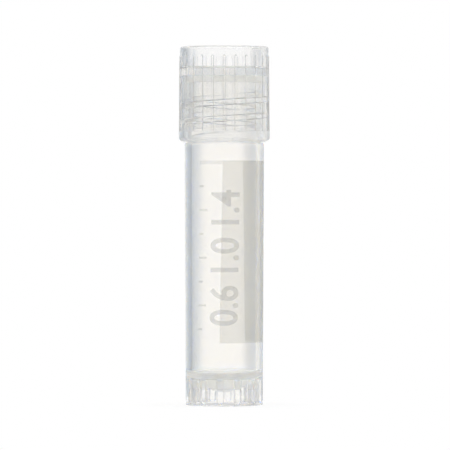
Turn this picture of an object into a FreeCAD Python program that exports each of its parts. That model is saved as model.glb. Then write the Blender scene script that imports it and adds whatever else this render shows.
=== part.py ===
import FreeCAD, Part

import math
import os

from FreeCAD import Vector

# A 2 ml externally threaded cryovial, standing on its foot with its screw cap closed.
# Millimetres. +Z is up along the vial's axis, and the origin is the middle of the foot's base.
# The front is -Y. Every piece is drawn where it lies with the cap screwed down.

# Vial: outside
VIAL_HEIGHT = 44.1          # base to lip
BODY_RADIUS = 5.43          # at the shoulder
BODY_TAPER = 0.145          # how much smaller the foot's radius is
FOOT_STRAIGHT = 7.0         # height of the parallel foot, which a rack holds
FOOT_EDGE_ROUND = 0.12
SHOULDER_ROUND = 0.37
NECK_HEIGHT = 8.2           # shoulder to lip
SHOULDER_WIDTH = 0.43       # body radius less neck radius
NECK_FILLET = 0.05
LIP_ROUND = 0.14

# Vial: inside and bottom
BODY_WALL = 0.93            # at the shoulder
BORE_TAPER = 0.08           # how much smaller the bore is at its floor
FLOOR_WALL = 0.78
FLOOR_FILLET = 0.4          # bore wall to floor
CONE_SLOPE = math.radians(29.7)
UNDERSIDE_HEIGHT = 1.7      # base to the lowest point of the closed bottom
UNDERSIDE_ROUND = 4.4

# Vial: the hollow foot, with lugs inside its skirt that key into a rack
SKIRT_WALL = 0.5
SKIRT_FILLET = 0.12
LUG_COUNT = 12
LUG_WIDTH = 0.86
LUG_DEPTH = 0.68
LUG_LIFT = 0.2              # base to the lug's rounded lower end
LUG_EDGE_ROUND = 0.12       # round the lug's inner face
LUG_TURN = math.radians(-97.0)
LUG_ROOT = 0.25             # how far a lug reaches into the skirt
LUG_RISE = 0.1              # how far a lug reaches into the closed bottom

# Thread: one right-hand start, a ridge on the neck and a ridge in the cap
PITCH = 2.21
THREAD_DEPTH = 0.40
ROOT_WIDTH = 0.88           # width of each ridge where it leaves its wall
FLANK_SLOPE = 0.45          # axial run of a flank for each unit of depth
CREST_CHAMFER = 0.06
CREST_CLEARANCE = 0.14      # neck ridge to cap wall
ROOT_CLEARANCE = 0.15       # cap ridge to neck wall
FLANK_PLAY = 0.06           # between the two flanks that meet when the cap is tight
RIDGE_BELOW_LIP = 1.16      # lip to the upper end of the neck ridge's middle line
RIDGE_ABOVE_SHOULDER = 1.28
RIDGE_TOP_TURN = math.radians(60.0)
CAP_RIDGE_BELOW_GASKET = 2.1
CAP_RIDGE_ABOVE_EDGE = 1.4
RUN_OUT = math.radians(42.0)
RIDGE_ROOT = 0.2            # how far a ridge is rooted in its wall
RUN_OUT_SINK = 0.05         # how far below its wall a ridge ends
SECTIONS_PER_TURN = 24

# Cap
SHOULDER_GAP = 0.1          # shoulder to the cap's lower edge
CAP_WALL = 0.54             # between the ribs
CAP_TAPER = 0.03            # how much smaller the cap's wall is at its rim
WEB_THICKNESS = 1.0
RECESS_DEPTH = 3.0          # open pocket for a colour insert
RECESS_WALL = 0.75
RECESS_FILLET = 0.3
RIM_ROUND = 0.28
RIM_INNER_ROUND = 0.15
COLLAR_HEIGHT = 1.45
COLLAR_STEP = 0.15          # how far the collar stands out from the wall
COLLAR_ROUND = 0.6          # at most, limited by the collar's own wall
COLLAR_TOP_ROUND = 0.05
LEAD_IN = 0.08
RIB_COUNT = 24
RIB_FOOT_WIDTH = 0.60
RIB_CREST_WIDTH = 0.24
RIB_HEIGHT = 0.125
RIB_TAPER = 0.035           # how much less a rib stands out at its upper end
RIM_PLAIN = 1.4             # rim to the full height of the ribs
RIB_RUN_OUT = 0.3
RIB_ROOT = 0.2

# Gasket
GASKET_THICKNESS = 0.9
GASKET_WIDTH = 1.85
GASKET_CLEARANCE = 0.1      # to the cap's wall, and the fillet between that wall and the web
GASKET_EDGE = 0.06

# Radii that follow
FOOT_RADIUS = BODY_RADIUS - BODY_TAPER
SKIRT_RADIUS = FOOT_RADIUS - SKIRT_WALL
NECK_RADIUS = BODY_RADIUS - SHOULDER_WIDTH
BORE_RADIUS = BODY_RADIUS - BODY_WALL
BORE_FLOOR_RADIUS = BORE_RADIUS - BORE_TAPER
NECK_CREST_RADIUS = NECK_RADIUS + THREAD_DEPTH
CAP_BORE_RADIUS = NECK_CREST_RADIUS + CREST_CLEARANCE
CAP_CREST_RADIUS = NECK_RADIUS + ROOT_CLEARANCE
CAP_RADIUS = CAP_BORE_RADIUS + CAP_WALL
RIM_RADIUS = CAP_RADIUS - CAP_TAPER
COLLAR_RADIUS = CAP_RADIUS + COLLAR_STEP
RECESS_RADIUS = RIM_RADIUS - RECESS_WALL
GASKET_RADIUS = CAP_BORE_RADIUS - GASKET_CLEARANCE

# Heights that follow
SHOULDER_HEIGHT = VIAL_HEIGHT - NECK_HEIGHT
CAP_EDGE_HEIGHT = SHOULDER_HEIGHT + SHOULDER_GAP
COLLAR_TOP_HEIGHT = CAP_EDGE_HEIGHT + COLLAR_HEIGHT
WEB_HEIGHT = VIAL_HEIGHT + GASKET_THICKNESS
RECESS_FLOOR_HEIGHT = WEB_HEIGHT + WEB_THICKNESS
CAP_TOP_HEIGHT = RECESS_FLOOR_HEIGHT + RECESS_DEPTH


def in_section(radius, height):
    """A point of the half-section that is turned about the axis."""
    return Vector(radius, 0, height)


def rounded_path(corners):
    """Edges through corners (radius, height, rounding), with tangent arcs at all but the two ends."""
    edges = []
    last = in_section(*corners[0][:2])
    for before, corner, after in zip(corners, corners[1:], corners[2:]):
        here = in_section(*corner[:2])
        rounding = corner[2]
        if rounding == 0:
            edges.append(Part.LineSegment(last, here).toShape())
            last = here
            continue
        back = (in_section(*before[:2]) - here).normalize()
        ahead = (in_section(*after[:2]) - here).normalize()
        half_angle = back.getAngle(ahead) / 2
        setback = rounding / math.tan(half_angle)
        inward = (back + ahead).normalize()
        centre = here + inward * (rounding / math.sin(half_angle))
        start = here + back * setback
        end = here + ahead * setback
        edges.append(Part.LineSegment(last, start).toShape())
        edges.append(Part.Arc(start, centre - inward * rounding, end).toShape())
        last = end
    edges.append(Part.LineSegment(last, in_section(*corners[-1][:2])).toShape())
    return edges


def limited(rounding, room):
    """A rounding that leaves a little of the flat it eats into."""
    return min(rounding, 0.98 * room)


def tip_arc(height, rounding, slope):
    """The arc from the axis, at the given height, out to where it meets a cone of this slope."""
    points = []
    for angle in (0, slope / 2, slope):
        rise = rounding * (1 - math.cos(angle))
        points.append(in_section(rounding * math.sin(angle), height + rise))
    return Part.Arc(*points).toShape(), points[-1]


def turned(edges):
    """The solid that a closed half-section sweeps about the axis."""
    outline = Part.Wire(Part.__sortEdges__(edges))
    return Part.Face(outline).revolve(Vector(0, 0, 0), Vector(0, 0, 1), 360)


def cone_height(tip_end, radius):
    """Height of the cone at a radius outside the point where its rounded tip ends."""
    return tip_end.z + (radius - tip_end.x) * math.tan(CONE_SLOPE)


def smooth_step(share):
    share = min(max(share, 0), 1)
    return share * share * (3 - 2 * share)


def thread_ridge(wall_radius, crest_radius, line_height, low_height, high_height):
    """A ridge wound between two heights of its middle line, its ends running out into its wall.

    line_height is the middle line's height at the angle RIDGE_TOP_TURN, in its top turn.
    A crest outside the wall makes an outer thread, and a crest inside it an inner one.
    """
    outward = 1 if crest_radius > wall_radius else -1
    depth = abs(crest_radius - wall_radius)
    first = (low_height - line_height) / PITCH * 2 * math.pi
    last = (high_height - line_height) / PITCH * 2 * math.pi
    count = math.ceil((last - first) / (2 * math.pi) * SECTIONS_PER_TURN)
    sections = []
    for index in range(count + 1):
        turn = first + (last - first) * index / count
        full = smooth_step(min(turn - first, last - turn) / RUN_OUT)
        crest = full * (depth + RUN_OUT_SINK) - RUN_OUT_SINK
        chamfer = CREST_CHAMFER * full + RUN_OUT_SINK / 4 * (1 - full)
        middle = line_height + turn / (2 * math.pi) * PITCH
        half = []
        for depth_here, inset in ((-RIDGE_ROOT, 0), (crest - chamfer, 0), (crest, chamfer)):
            width = ROOT_WIDTH / 2 - FLANK_SLOPE * depth_here - inset
            half.append((wall_radius + outward * depth_here, width))
        corners = [(radius, -width) for radius, width in half]
        corners += [(radius, width) for radius, width in reversed(half)]
        angle = RIDGE_TOP_TURN + turn
        points = []
        for radius, offset in corners:
            x, y = radius * math.cos(angle), radius * math.sin(angle)
            points.append(Vector(x, y, middle + offset))
        sections.append(Part.makePolygon(points + points[:1]))
    return Part.makeLoft(sections, True, False)


def around(shape, count, first_angle=0.0):
    """Copies of a shape drawn along +X, evenly turned about the axis."""
    copies = []
    for index in range(count):
        copy = shape.copy()
        angle = math.degrees(first_angle) + 360.0 * index / count
        copy.rotate(Vector(0, 0, 0), Vector(0, 0, 1), angle)
        copies.append(copy)
    return copies


def foot_lug(top_height):
    """One lug on the inside of the skirt, with a round lower end."""
    inner = SKIRT_RADIUS - LUG_DEPTH
    half = LUG_WIDTH / 2
    round_height = LUG_LIFT + half
    left_top = Vector(inner, -half, top_height)
    left_low = Vector(inner, -half, round_height)
    lowest = Vector(inner, 0, LUG_LIFT)
    right_low = Vector(inner, half, round_height)
    right_top = Vector(inner, half, top_height)
    outline = Part.Wire([
        Part.LineSegment(left_top, left_low).toShape(),
        Part.Arc(left_low, lowest, right_low).toShape(),
        Part.LineSegment(right_low, right_top).toShape(),
        Part.LineSegment(right_top, left_top).toShape(),
    ])
    lug = Part.Face(outline).extrude(Vector(LUG_DEPTH + LUG_ROOT, 0, 0))
    inner_edges = [edge for edge in lug.Edges if edge.BoundBox.XMax < inner + 1e-6]
    return lug.makeFillet(min(LUG_EDGE_ROUND, 0.4 * LUG_DEPTH, 0.4 * half), inner_edges)


def make_vial():
    """The vial: one moulding with its threaded neck, closed conical bottom and lugged foot."""
    shoulder_round = limited(SHOULDER_ROUND, SHOULDER_WIDTH - NECK_FILLET)
    under_arc, under_end = tip_arc(UNDERSIDE_HEIGHT, UNDERSIDE_ROUND, CONE_SLOPE)
    floor_height = UNDERSIDE_HEIGHT + FLOOR_WALL
    floor_arc, floor_end = tip_arc(floor_height, UNDERSIDE_ROUND - FLOOR_WALL, CONE_SLOPE)
    under_edge = cone_height(under_end, SKIRT_RADIUS)
    path = rounded_path([
        (floor_end.x, floor_end.z, 0),
        (BORE_FLOOR_RADIUS, cone_height(floor_end, BORE_FLOOR_RADIUS), FLOOR_FILLET),
        (BORE_RADIUS, VIAL_HEIGHT, LIP_ROUND),
        (NECK_RADIUS, VIAL_HEIGHT, LIP_ROUND),
        (NECK_RADIUS, SHOULDER_HEIGHT, NECK_FILLET),
        (BODY_RADIUS, SHOULDER_HEIGHT, shoulder_round),
        (FOOT_RADIUS, FOOT_STRAIGHT, 0),
        (FOOT_RADIUS, 0, FOOT_EDGE_ROUND),
        (SKIRT_RADIUS, 0, FOOT_EDGE_ROUND),
        (SKIRT_RADIUS, under_edge, SKIRT_FILLET),
        (under_end.x, under_end.z, 0),
    ])
    axis = Part.LineSegment(in_section(0, UNDERSIDE_HEIGHT), in_section(0, floor_height))
    body = turned([floor_arc, *path, under_arc, axis.toShape()])
    ridge = thread_ridge(
        NECK_RADIUS,
        NECK_CREST_RADIUS,
        VIAL_HEIGHT - RIDGE_BELOW_LIP,
        SHOULDER_HEIGHT + RIDGE_ABOVE_SHOULDER,
        VIAL_HEIGHT - RIDGE_BELOW_LIP,
    )
    lugs = around(foot_lug(under_edge + LUG_RISE), LUG_COUNT, LUG_TURN)
    return body.multiFuse([ridge, *lugs])


def cap_rib():
    """One grip rib, drafted towards the rim, with its upper end running out into the wall."""
    full_height = CAP_TOP_HEIGHT - RIM_PLAIN
    levels = (
        (COLLAR_TOP_HEIGHT - RIB_ROOT, CAP_RADIUS + RIB_HEIGHT),
        (full_height, RIM_RADIUS + RIB_HEIGHT - RIB_TAPER),
        (full_height + RIB_RUN_OUT, RIM_RADIUS - RUN_OUT_SINK),
    )
    sections = []
    for height, crest_radius in levels:
        inner_radius = RIM_RADIUS - RIB_ROOT
        foot, crest = RIB_FOOT_WIDTH / 2, RIB_CREST_WIDTH / 2
        corners = [
            Vector(inner_radius, -foot, height),
            Vector(crest_radius, -crest, height),
            Vector(crest_radius, crest, height),
            Vector(inner_radius, foot, height),
        ]
        sections.append(Part.makePolygon(corners + corners[:1]))
    return Part.makeLoft(sections, True, True)


def make_cap():
    """The screw cap: one moulding with a ribbed skirt, an inner thread and an open top recess."""
    collar_round = limited(COLLAR_ROUND, COLLAR_RADIUS - CAP_BORE_RADIUS - LEAD_IN)
    path = rounded_path([
        (0, RECESS_FLOOR_HEIGHT, 0),
        (RECESS_RADIUS, RECESS_FLOOR_HEIGHT, RECESS_FILLET),
        (RECESS_RADIUS, CAP_TOP_HEIGHT, RIM_INNER_ROUND),
        (RIM_RADIUS, CAP_TOP_HEIGHT, RIM_ROUND),
        (CAP_RADIUS, COLLAR_TOP_HEIGHT, COLLAR_TOP_ROUND),
        (COLLAR_RADIUS, COLLAR_TOP_HEIGHT, COLLAR_TOP_ROUND),
        (COLLAR_RADIUS, CAP_EDGE_HEIGHT, collar_round),
        (CAP_BORE_RADIUS, CAP_EDGE_HEIGHT, LEAD_IN),
        (CAP_BORE_RADIUS, WEB_HEIGHT, GASKET_CLEARANCE),
        (0, WEB_HEIGHT, 0),
    ])
    axis = Part.LineSegment(in_section(0, WEB_HEIGHT), in_section(0, RECESS_FLOOR_HEIGHT))
    shell = turned([*path, axis.toShape()])
    line_offset = ROOT_WIDTH - FLANK_SLOPE * (THREAD_DEPTH + CREST_CLEARANCE) + FLANK_PLAY
    ridge = thread_ridge(
        CAP_BORE_RADIUS,
        CAP_CREST_RADIUS,
        VIAL_HEIGHT - RIDGE_BELOW_LIP - line_offset,
        CAP_EDGE_HEIGHT + CAP_RIDGE_ABOVE_EDGE,
        VIAL_HEIGHT - CAP_RIDGE_BELOW_GASKET,
    )
    return shell.multiFuse([ridge, *around(cap_rib(), RIB_COUNT)])


def make_gasket():
    """The flat silicone sealing ring, clamped between the cap's web and the vial's lip."""
    inner = GASKET_RADIUS - GASKET_WIDTH
    middle = (GASKET_RADIUS + inner) / 2
    path = rounded_path([
        (middle, VIAL_HEIGHT, 0),
        (GASKET_RADIUS, VIAL_HEIGHT, GASKET_EDGE),
        (GASKET_RADIUS, WEB_HEIGHT, GASKET_EDGE),
        (inner, WEB_HEIGHT, GASKET_EDGE),
        (inner, VIAL_HEIGHT, GASKET_EDGE),
        (middle, VIAL_HEIGHT, 0),
    ])
    return turned(path)


os.makedirs("parts", exist_ok=True)
pieces = {"vial": make_vial(), "cap": make_cap(), "gasket": make_gasket()}
for name, shape in pieces.items():
    shape = shape.removeSplitter()
    box = shape.BoundBox
    print(f"{name}: {len(shape.Solids)} solid, {shape.Volume:.1f} mm3, valid {shape.isValid()},"
          f" x {box.XMin:.2f}..{box.XMax:.2f}, z {box.ZMin:.2f}..{box.ZMax:.2f}")
    shape.exportStep(f"parts/{name}.step")
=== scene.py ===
# Looks of a 2 ml screw-cap cryovial: milky moulded polypropylene, a silicone seal and printed ink.

import math

import bmesh
import bpy
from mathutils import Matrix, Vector


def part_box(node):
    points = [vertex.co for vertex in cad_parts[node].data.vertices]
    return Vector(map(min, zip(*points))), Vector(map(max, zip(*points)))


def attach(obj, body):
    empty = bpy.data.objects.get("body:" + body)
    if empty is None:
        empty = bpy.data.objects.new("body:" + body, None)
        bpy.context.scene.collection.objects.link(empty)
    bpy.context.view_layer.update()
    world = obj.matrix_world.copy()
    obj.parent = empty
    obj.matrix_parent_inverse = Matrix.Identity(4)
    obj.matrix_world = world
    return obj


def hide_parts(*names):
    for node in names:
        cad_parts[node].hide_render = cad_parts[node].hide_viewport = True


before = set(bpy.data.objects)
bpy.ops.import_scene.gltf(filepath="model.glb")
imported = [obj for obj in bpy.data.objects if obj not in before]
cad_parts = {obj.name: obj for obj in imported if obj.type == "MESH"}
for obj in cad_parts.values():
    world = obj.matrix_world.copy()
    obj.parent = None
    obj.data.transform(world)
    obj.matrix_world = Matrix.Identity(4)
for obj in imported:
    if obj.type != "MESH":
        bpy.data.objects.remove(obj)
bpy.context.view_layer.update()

MM = 0.001
WHITE = (1, 1, 1, 1)

# Camera
CAMERA_DISTANCE = 0.610
CAMERA_HEIGHT = 0.0308
AIM_HEIGHT = 0.0246
AIM_SIDE = 0.0001
FRAME_WIDTH = 0.0616        # what the frame covers at the object
SENSOR_WIDTH = 36.0
CLIP_START, CLIP_END = 0.01, 10.0

# Studio walls: degrees from straight behind the object (positive to the right), level, coolness
STUDIO = [
    (-180, 0.9, 0.0),       # pale room in front
    (-85, 0.9, 0.0),
    (-65, 0.45, 0.0),       # dark gap at the left
    (-45, 0.45, 0.05),
    (-30, 0.55, 0.1),       # grey wing
    (-12, 0.7, 0.05),
    (-5, 1.0, 0.0),         # white backdrop
    (4, 1.0, 0.0),
    (8, 0.7, 0.0),          # grey wing
    (20, 0.65, 0.05),
    (35, 0.85, 0.0),        # pale panel at the right
    (60, 0.95, 0.0),
    (75, 0.8, 0.0),         # narrow gap beside it
    (85, 0.9, 0.0),
    (180, 0.9, 0.0),        # pale room in front
]
OVERHEAD = 0.88
PANELS = 8                      # below the horizon, evenly round the object
LOW_PANEL, LOW_GAP = 1.0, 0.67  # levels of those panels and of the gaps between them
PANEL_HALF, PANEL_EDGE = 8, 12  # degrees: half of a panel's full width, and its soft edge
# How far a direction rises or falls, as a sine, where one part of the studio gives way to the next
TO_OVERHEAD = 0.25, 0.5
TO_PANELS = -0.10, -0.16
TO_UNDER = -0.5, -0.65

# Floor
FLOOR_RADIUS = 26 * MM
FLOOR_GAP = 0.01 * MM           # keeps the floor off the foot's own faces
FLOOR_SIDES = 96
FLOOR_COLOUR = (0.9, 0.9, 0.9, 1)
FLOOR_WHITE = 0.93              # share of the floor next to the foot that takes no shade
SHADE_FROM, SHADE_TO = 6.5 * MM, 14 * MM
# Where, to clear plastic and gloss, the floor's painted shade next to the foot gives way to painted studio
# panels
PANELS_FROM, PANELS_TO = 5 * MM, 8 * MM

# Plastic
CLOUD_SCALE = 420.0
NOISE_LOW, NOISE_HIGH = 0.3, 0.7                # the range that most of a noise value lies in
RIPPLE_SCALE = 700.0
RIPPLE_DEPTH, RIPPLE_STRENGTH = 0.01 * MM, 0.1
SOFT_EDGE, TINT_EDGE, SHARP_EDGE = 0.15 * MM, 0.5 * MM, 0.01 * MM
MILKY_COLOUR = (0.98, 0.98, 0.95, 1)
FORWARD_SCATTER = 0.5
UPRIGHT = 0.4                                   # most rise of a normal that counts as a side face
FACING_EDGE = 0.05
POLYPROPYLENE_IOR, SILICONE_IOR = 1.49, 1.41
CLEAR_BOUNCES = 96                              # light crosses many walls of the cap and the thread

# Seal: the gasket's ring, kept clear of the two plastic faces that squeeze it
SEAL_GAP = 0.01 * MM
SEAL_WIDTH = 1.85 * MM
SEAL_EDGE = 0.06 * MM
SEAL_STEPS, SEAL_CORNER_STEPS = 160, 3

# Print
FOOT_TOP, SHOULDER = 7.0 * MM, 35.5 * MM
INK_LIFT = 0.012 * MM
INK_GRAIN_SCALE = 2500.0
PRINT_GRID = math.radians(2.5), 2.5 * MM        # the print is cut this fine to follow the tube
CUT_TOLERANCE = 1e-7
PATCH_LOW, PATCH_HIGH = 8.6 * MM, 33.4 * MM
PATCH_FROM, PATCH_TO = math.radians(-4.6), math.radians(144)
PRINT_SKEW = math.radians(4.9) / (PATCH_HIGH - PATCH_LOW)
ZERO_MARK, MARK_STEP = 4.0 * MM, 16.2 * MM      # height at 0 ml, and for each ml
MARKS, NUMBERED = range(4, 17, 2), (6, 10, 14)  # tenths of a millilitre
MARKS_FROM = math.radians(-40)
MARK_LENGTH, LONG_MARK_LENGTH = math.radians(8), math.radians(14)
MARK_HALF = 0.14 * MM
FILL_LINE = 0.48 * MM
NUMBER_SIZE, NUMBER_NARROWING, NUMBER_WEIGHT = 5.4 * MM, 0.85, 0.09 * MM
NUMBER_CURVE_STEPS = 6


# Node helpers

def node_tree(owner):
    owner.use_nodes = True
    owner.node_tree.nodes.clear()
    return owner.node_tree


def add(tree, kind, inputs=None, **settings):
    """A node with some of its settings and input values set, or inputs linked from other sockets."""
    node = tree.nodes.new(kind)
    for name, value in settings.items():
        setattr(node, name, value)
    for key, value in (inputs or {}).items():
        if isinstance(value, bpy.types.NodeSocket):
            tree.links.new(value, node.inputs[key])
        else:
            node.inputs[key].default_value = value
    return node


def maths(tree, operation, *values, clamp=False):
    node = add(tree, "ShaderNodeMath", dict(enumerate(values)), operation=operation)
    node.use_clamp = clamp
    return node.outputs[0]


def product(tree, *values):
    result = values[0]
    for value in values[1:]:
        result = maths(tree, "MULTIPLY", result, value)
    return result


def smooth(tree, value, low, high):
    return add(tree, "ShaderNodeMapRange", {"Value": value, "From Min": low, "From Max": high},
               interpolation_type="SMOOTHSTEP").outputs[0]


def between(tree, value, low, high, edge=SOFT_EDGE):
    """1 between the two values and 0 outside them."""
    return product(tree, smooth(tree, value, low - edge, low + edge),
                   smooth(tree, value, high + edge, high - edge))


def spread(tree, value, low, high):
    """A noise value stretched to run from low to high."""
    return add(tree, "ShaderNodeMapRange", {
        "Value": value, "From Min": NOISE_LOW, "From Max": NOISE_HIGH,
        "To Min": low, "To Max": high}).outputs[0]


def blend(tree, share, first, second):
    """first where share is 0, and second where it is 1."""
    keep = maths(tree, "MULTIPLY", first, maths(tree, "SUBTRACT", 1.0, share))
    return maths(tree, "MULTIPLY_ADD", second, share, keep)


def blend_colours(tree, share, first, second):
    return add(tree, "ShaderNodeMix", {"Factor": share, "A": first, "B": second},
               data_type="RGBA").outputs["Result"]


def ramp(tree, value, stops):
    """A colour ramp from stops of (position, colour)."""
    node = add(tree, "ShaderNodeValToRGB", {"Fac": value})
    elements = node.color_ramp.elements
    while len(elements) < len(stops):
        elements.new(0.5)
    for element, (position, colour) in zip(elements, stops):
        element.position = position
        element.color = (*colour, 1)
    return node.outputs["Color"]


def mix_shaders(tree, share, first, second):
    """The first shader where share is 0, and the second where it is 1."""
    return add(tree, "ShaderNodeMixShader", {0: share, 1: first.outputs[0], 2: second.outputs[0]})


def scattering(tree, colour):
    """A surface that sends light back and through in equal parts."""
    front = add(tree, "ShaderNodeBsdfDiffuse", {"Color": colour})
    back = add(tree, "ShaderNodeBsdfTranslucent", {"Color": colour})
    return mix_shaders(tree, 0.5, front, back)


def object_place(tree):
    """The place on the object: as a vector, its parts, and the distance from the axis."""
    place = add(tree, "ShaderNodeTexCoord").outputs["Object"]
    parts = add(tree, "ShaderNodeSeparateXYZ", {0: place}).outputs
    level = add(tree, "ShaderNodeCombineXYZ", {"X": parts["X"], "Y": parts["Y"]}).outputs[0]
    out = add(tree, "ShaderNodeVectorMath", {0: level}, operation="LENGTH").outputs["Value"]
    return place, parts, level, out


def finish_material(material, surface, volume=None):
    tree = material.node_tree
    output = add(tree, "ShaderNodeOutputMaterial", {"Surface": surface.outputs[0]})
    if volume:
        tree.links.new(volume.outputs[0], output.inputs["Volume"])
    return material


# Camera, studio and floor

def make_camera():
    data = bpy.data.cameras.new("camera")
    data.sensor_width = SENSOR_WIDTH
    data.lens = SENSOR_WIDTH * CAMERA_DISTANCE / FRAME_WIDTH
    data.clip_start, data.clip_end = CLIP_START, CLIP_END
    camera = bpy.data.objects.new("camera", data)
    bpy.context.scene.collection.objects.link(camera)
    place = Vector((AIM_SIDE, -CAMERA_DISTANCE, CAMERA_HEIGHT))
    target = Vector((AIM_SIDE, 0, AIM_HEIGHT))
    camera.location = place
    camera.rotation_euler = (target - place).to_track_quat("-Z", "Y").to_euler()
    bpy.context.scene.camera = camera


def turn_of(tree, parts):
    """The direction round the object as 0 to 1, with 0.5 straight behind it."""
    turn = maths(tree, "ARCTAN2", parts["X"], parts["Y"])
    return maths(tree, "MULTIPLY_ADD", turn, 0.5 / math.pi, 0.5)


def low_panels(tree, turn):
    """White panels with darker gaps between them."""
    step = 360 / PANELS
    share = maths(tree, "FRACT", maths(tree, "MULTIPLY_ADD", turn, PANELS, 0.5))
    off = maths(tree, "ABSOLUTE", maths(tree, "SUBTRACT", share, 0.5))
    gap = smooth(tree, off, PANEL_HALF / step, (PANEL_HALF + PANEL_EDGE) / step)
    return blend(tree, gap, LOW_PANEL, LOW_GAP)


def make_world():
    """White behind the object, and pale panels with darker gaps for what clear plastic and gloss show."""
    world = bpy.data.worlds.new("studio")
    bpy.context.scene.world = world
    tree = node_tree(world)
    direction = add(tree, "ShaderNodeTexCoord").outputs["Generated"]
    parts = add(tree, "ShaderNodeSeparateXYZ", {0: direction}).outputs
    turn = turn_of(tree, parts)
    walls = ramp(tree, turn, [
        (0.5 + angle / 360, (level * (1 - cool), level, level * (1 + cool)))
        for angle, level, cool in STUDIO])
    below = blend(tree, smooth(tree, parts["Z"], *TO_UNDER), low_panels(tree, turn), LOW_GAP)
    overhead = (OVERHEAD, OVERHEAD, OVERHEAD, 1)
    colour = blend_colours(tree, smooth(tree, parts["Z"], *TO_OVERHEAD), walls, overhead)
    colour = blend_colours(tree, smooth(tree, parts["Z"], *TO_PANELS), colour, below)
    light = add(tree, "ShaderNodeBackground", {"Color": colour, "Strength": 1.0})
    white = add(tree, "ShaderNodeBackground", {"Color": WHITE, "Strength": 1.0})
    seen = add(tree, "ShaderNodeLightPath").outputs["Is Camera Ray"]
    mix = mix_shaders(tree, seen, light, white)
    add(tree, "ShaderNodeOutputWorld", {"Surface": mix.outputs[0]})


def make_floor():
    """A floor as white as the background, shaded only next to the object. To clear plastic and gloss it
    glows with painted shade next to the foot and painted studio panels further out.
    """
    mesh = bpy.data.meshes.new("floor")
    shape = bmesh.new()
    bmesh.ops.create_circle(shape, cap_ends=True, radius=FLOOR_RADIUS, segments=FLOOR_SIDES)
    shape.to_mesh(mesh)
    shape.free()
    floor = bpy.data.objects.new("floor", mesh)
    floor.location.z = -FLOOR_GAP
    bpy.context.scene.collection.objects.link(floor)
    material = bpy.data.materials.new("pale_floor")
    tree = node_tree(material)
    path = add(tree, "ShaderNodeLightPath").outputs
    through = maths(tree, "ADD", path["Is Glossy Ray"], path["Is Transmission Ray"], clamp=True)
    shown = maths(tree, "ADD", path["Is Camera Ray"], through, clamp=True)
    _, parts, _, out = object_place(tree)
    # Painted shade and painted panels: what clear plastic and gloss see of the floor glows at the gap level
    # next to the foot, and in the studio's panels further out
    panels = blend(tree, smooth(tree, out, PANELS_FROM, PANELS_TO), LOW_GAP,
                   low_panels(tree, turn_of(tree, parts)))
    white = product(tree, shown, blend(tree, smooth(tree, out, SHADE_FROM, SHADE_TO), FLOOR_WHITE, 1.0))
    shaded = add(tree, "ShaderNodeBsdfDiffuse", {"Color": FLOOR_COLOUR})
    glow = add(tree, "ShaderNodeEmission", {
        "Color": WHITE, "Strength": blend(tree, through, 1.0, panels)})
    mesh.materials.append(finish_material(material, mix_shaders(tree, white, shaded, glow)))


# Materials

def milky_plastic(name, ior, haze, roughness, scatter, density, matte=(), warm=None, sides=None):
    """Clear plastic with a milky inside and faint moulding ripples.

    matte lists the less polished faces as (haze, radius, low, high): those nearer the axis than the radius
    and between the two heights. warm is (colour, low, high) of a faint tint between two heights. sides is
    (share, level, inner radius, outer radius, low, high, facing): faces of ribs and lugs which turn away
    from the axis by more than the facing value, a cosine, and get painted shade, a grey scattering surface
    at that level.
    """
    material = bpy.data.materials.new(name)
    tree = node_tree(material)
    place, parts, level, out = object_place(tree)
    for matte_haze, radius, low, high in matte:
        inner = product(tree, maths(tree, "LESS_THAN", out, radius), between(tree, parts["Z"], low, high))
        haze = blend(tree, inner, haze, matte_haze)
    cloud = add(tree, "ShaderNodeTexNoise", {
        "Vector": place, "Scale": CLOUD_SCALE, "Detail": 3.0, "Roughness": 0.55}).outputs["Fac"]
    ripple = add(tree, "ShaderNodeTexNoise", {
        "Vector": place, "Scale": RIPPLE_SCALE, "Detail": 2.0}).outputs["Fac"]
    bump = add(tree, "ShaderNodeBump", {
        "Strength": RIPPLE_STRENGTH, "Distance": RIPPLE_DEPTH, "Height": ripple})
    colour = WHITE
    if warm:
        tint, low, high = warm
        colour = blend_colours(tree, between(tree, parts["Z"], low, high, TINT_EDGE), colour, (*tint, 1))
    clear = add(tree, "ShaderNodeBsdfPrincipled", {
        "Base Color": colour, "IOR": ior, "Transmission Weight": 1.0, "Normal": bump.outputs[0],
        "Roughness": product(tree, roughness, spread(tree, cloud, 0.6, 1.4))})
    milky = scattering(tree, MILKY_COLOUR)
    surface = mix_shaders(tree, product(tree, haze, spread(tree, cloud, 0.85, 1.15)), clear, milky)
    if sides:
        share, shade_level, inner, outer, low, high, facing = sides
        normal = add(tree, "ShaderNodeTexCoord").outputs["Normal"]
        outward = add(tree, "ShaderNodeVectorMath", {0: level}, operation="NORMALIZE").outputs[0]
        turned = add(tree, "ShaderNodeVectorMath", {0: normal, 1: outward},
                     operation="DOT_PRODUCT").outputs["Value"]
        turned = maths(tree, "ABSOLUTE", turned)
        rise = add(tree, "ShaderNodeSeparateXYZ", {0: normal}).outputs["Z"]
        # Painted shade: side faces of ribs and lugs turn into a grey scattering surface, standing in for the
        # dark lines that refraction draws on them
        painted_shade = product(tree, smooth(tree, turned, facing + FACING_EDGE, facing - FACING_EDGE),
                       maths(tree, "LESS_THAN", maths(tree, "ABSOLUTE", rise), UPRIGHT),
                       between(tree, out, inner, outer, SHARP_EDGE),
                       between(tree, parts["Z"], low, high, SHARP_EDGE), share)
        surface = mix_shaders(tree, painted_shade, surface, scattering(tree, (shade_level, shade_level, shade_level, 1)))
    inside = add(tree, "ShaderNodeVolumeScatter", {
        "Color": (*scatter, 1), "Density": density, "Anisotropy": FORWARD_SCATTER})
    return finish_material(material, surface, inside)


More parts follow.
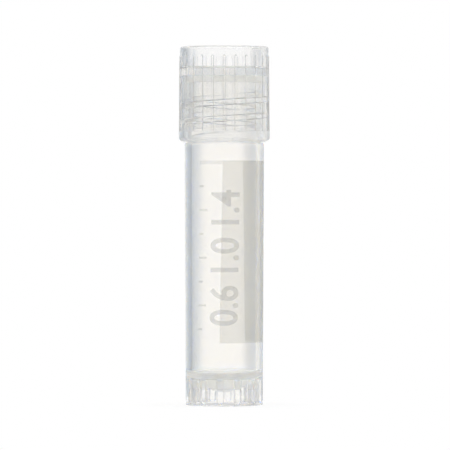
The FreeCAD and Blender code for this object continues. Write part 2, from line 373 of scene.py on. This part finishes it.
def ink(name, colour, cover, film=1.0):
    """Thin printed ink, a little uneven: a see-through film, the rest passing scattered light both ways."""
    material = bpy.data.materials.new(name)
    tree = node_tree(material)
    place = add(tree, "ShaderNodeTexCoord").outputs["Object"]
    grain = add(tree, "ShaderNodeTexNoise", {
        "Vector": place, "Scale": INK_GRAIN_SCALE, "Detail": 3.0}).outputs["Fac"]
    clear = add(tree, "ShaderNodeBsdfTransparent", {"Color": (film, film, film, 1)})
    cover = product(tree, cover, spread(tree, grain, 0.9, 1.1))
    return finish_material(material, mix_shaders(tree, cover, clear, scattering(tree, (*colour, 1))))


def dress_mouldings():
    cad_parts["vial"].data.materials[0] = milky_plastic(
        "vial_pp", POLYPROPYLENE_IOR, haze=0.012, roughness=0.02, scatter=(0.42, 0.58, 1.0), density=130.0,
        matte=((0.5, 4.6 * MM, 2.2 * MM, 4.75 * MM),            # the closed bottom
               (0.06, 5.45 * MM, 36 * MM, 45 * MM)),            # the neck
        warm=((1.0, 0.992, 0.977), 5.5 * MM, 35.5 * MM),
        # painted shade on the side faces of the foot's lugs
        sides=(0.11, 0.3, 4.05 * MM, 4.83 * MM, -1 * MM, 2.9 * MM, 0.5))
    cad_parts["cap"].data.materials[0] = milky_plastic(
        "cap_pp", POLYPROPYLENE_IOR, haze=0.015, roughness=0.025, scatter=(0.78, 0.87, 1.0), density=118.0,
        matte=((0.28, 5.45 * MM, 44.9 * MM, 45.5 * MM),          # the web's underside
               (0.08, 5.6 * MM, 30 * MM, 44.9 * MM)),           # the threaded bore
        warm=((1.0, 0.996, 0.99), 36.5 * MM, 44.3 * MM),
        # painted shade on the side faces of the cap's ribs
        sides=(0.42, 0.65, 6.0 * MM, 6.3 * MM, 37 * MM, 48.5 * MM, 0.93))


# Added pieces

def new_piece(name, shape, material, body):
    mesh = bpy.data.meshes.new(name)
    shape.normal_update()
    for face in shape.faces:
        face.smooth = True
    shape.to_mesh(mesh)
    shape.free()
    mesh.materials.append(material)
    piece = bpy.data.objects.new(name, mesh)
    bpy.context.scene.collection.objects.link(piece)
    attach(piece, body)
    return piece


def make_seal():
    """The gasket's ring with rounded edges, turned about the axis."""
    low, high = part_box("gasket")
    outer, inner = high[0] - SEAL_GAP, high[0] - SEAL_WIDTH + SEAL_GAP
    bottom, top = low[2] + SEAL_GAP, high[2] - SEAL_GAP
    corners = ((outer - SEAL_EDGE, bottom + SEAL_EDGE, -90), (outer - SEAL_EDGE, top - SEAL_EDGE, 0),
               (inner + SEAL_EDGE, top - SEAL_EDGE, 90), (inner + SEAL_EDGE, bottom + SEAL_EDGE, 180))
    section = []
    for radius, height, first in corners:
        for step in range(SEAL_CORNER_STEPS + 1):
            angle = math.radians(first + 90 * step / SEAL_CORNER_STEPS)
            section.append((radius + SEAL_EDGE * math.cos(angle), height + SEAL_EDGE * math.sin(angle)))
    shape = bmesh.new()
    rings = []
    for index in range(SEAL_STEPS):
        angle = 2 * math.pi * index / SEAL_STEPS
        rings.append([shape.verts.new((r * math.cos(angle), r * math.sin(angle), z)) for r, z in section])
    for ring, after in zip(rings, rings[1:] + rings[:1]):
        for step in range(len(section)):
            other = (step + 1) % len(section)
            shape.faces.new((ring[step], after[step], after[other], ring[other]))
    silicone = milky_plastic(
        "silicone", SILICONE_IOR, haze=0.4, roughness=0.12, scatter=(0.92, 0.95, 1.0), density=220.0)
    piece = new_piece("seal_ring", shape, silicone, "gasket")
    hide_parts("gasket")


def tube_radius(height):
    """Radius of the tube, which widens evenly from the foot to the shoulder."""
    share = min(max((height - FOOT_TOP) / (SHOULDER - FOOT_TOP), 0), 1)
    return foot_radius + (shoulder_radius - foot_radius) * share


def print_on_tube(name, flat, material, lift):
    """Lays a flat shape, drawn with its angle round the tube as x and its height as y, on the tube."""
    for axis, step in enumerate(PRINT_GRID):
        values = [vert.co[axis] for vert in flat.verts]
        place = math.ceil(min(values) / step) * step
        while place < max(values):
            point, normal = Vector((0, 0, 0)), Vector((0, 0, 0))
            point[axis], normal[axis] = place, 1
            bmesh.ops.bisect_plane(flat, geom=flat.verts[:] + flat.edges[:] + flat.faces[:],
                                   plane_co=point, plane_no=normal, dist=CUT_TOLERANCE)
            place += step
    for vert in flat.verts:
        angle, height = vert.co.x, vert.co.y
        angle += PRINT_SKEW * (height - (PATCH_LOW + PATCH_HIGH) / 2)
        radius = tube_radius(height) + lift
        vert.co = (radius * math.sin(angle), -radius * math.cos(angle), height)
    return new_piece(name, flat, material, "vial")


def rectangle(flat, left, right, low, high):
    corners = ((left, low), (right, low), (right, high), (left, high))
    flat.faces.new([flat.verts.new((x, y, 0)) for x, y in corners])


def numbers(flat, text, height):
    """Figures turned to read upwards, centred at a height."""
    curve = bpy.data.curves.new("figures", "FONT")
    curve.body = text
    curve.size = NUMBER_SIZE
    curve.offset = NUMBER_WEIGHT
    curve.align_x = "CENTER"
    curve.resolution_u = NUMBER_CURVE_STEPS
    holder = bpy.data.objects.new("figures", curve)
    bpy.context.scene.collection.objects.link(holder)
    bpy.context.view_layer.update()
    mesh = bpy.data.meshes.new_from_object(holder.evaluated_get(bpy.context.evaluated_depsgraph_get()))
    tall = max(vert.co.y for vert in mesh.vertices)
    start = len(flat.verts)
    flat.from_mesh(mesh)
    flat.verts.ensure_lookup_table()
    radius = tube_radius(height)
    for vert in flat.verts[start:]:
        along, across = NUMBER_NARROWING * vert.co.x, vert.co.y
        vert.co = ((tall / 2 - across) / radius, height + along, 0)
    bpy.data.meshes.remove(mesh)
    bpy.data.objects.remove(holder)
    bpy.data.curves.remove(curve)


def make_print():
    """A pale writing patch, a fill line, graduation marks and plain numbers in millilitres."""
    patch_ink = ink("patch_ink", (0.64, 0.62, 0.53), cover=0.22, film=0.935)
    number_ink = ink("number_ink", (0.5, 0.5, 0.49), cover=0.36)
    mark_ink = ink("mark_ink", (0.6, 0.6, 0.57), cover=0.2)
    flat = bmesh.new()
    rectangle(flat, PATCH_FROM, PATCH_TO, PATCH_LOW, PATCH_HIGH)
    print_on_tube("writing_patch", flat, patch_ink, INK_LIFT)
    flat = bmesh.new()
    rectangle(flat, MARKS_FROM, PATCH_FROM, PATCH_HIGH - FILL_LINE, PATCH_HIGH)
    for tenths in MARKS:
        height = ZERO_MARK + tenths / 10 * MARK_STEP
        length = LONG_MARK_LENGTH if tenths in NUMBERED else MARK_LENGTH
        rectangle(flat, MARKS_FROM, MARKS_FROM + length, height - MARK_HALF, height + MARK_HALF)
    print_on_tube("graduation_marks", flat, mark_ink, 2 * INK_LIFT)
    flat = bmesh.new()
    for tenths in NUMBERED:
        numbers(flat, f"{tenths / 10:.1f}", ZERO_MARK + tenths / 10 * MARK_STEP)
    print_on_tube("graduation_numbers", flat, number_ink, 2 * INK_LIFT)


vial_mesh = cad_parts["vial"].data
shoulder_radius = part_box("vial")[1][0]
foot_radius = max(math.hypot(vert.co.x, vert.co.y) for vert in vial_mesh.vertices if vert.co.z < FOOT_TOP)

make_camera()
make_world()
make_floor()
dress_mouldings()
make_seal()
make_print()

scene = bpy.context.scene
scene.view_settings.view_transform = "Standard"
scene.cycles.blur_glossy = 0.0
scene.cycles.max_bounces = CLEAR_BOUNCES
scene.cycles.transmission_bounces = CLEAR_BOUNCES
scene.cycles.transparent_max_bounces = CLEAR_BOUNCES
scene.cycles.glossy_bounces = CLEAR_BOUNCES
scene.cycles.diffuse_bounces = 4
scene.cycles.volume_bounces = 64
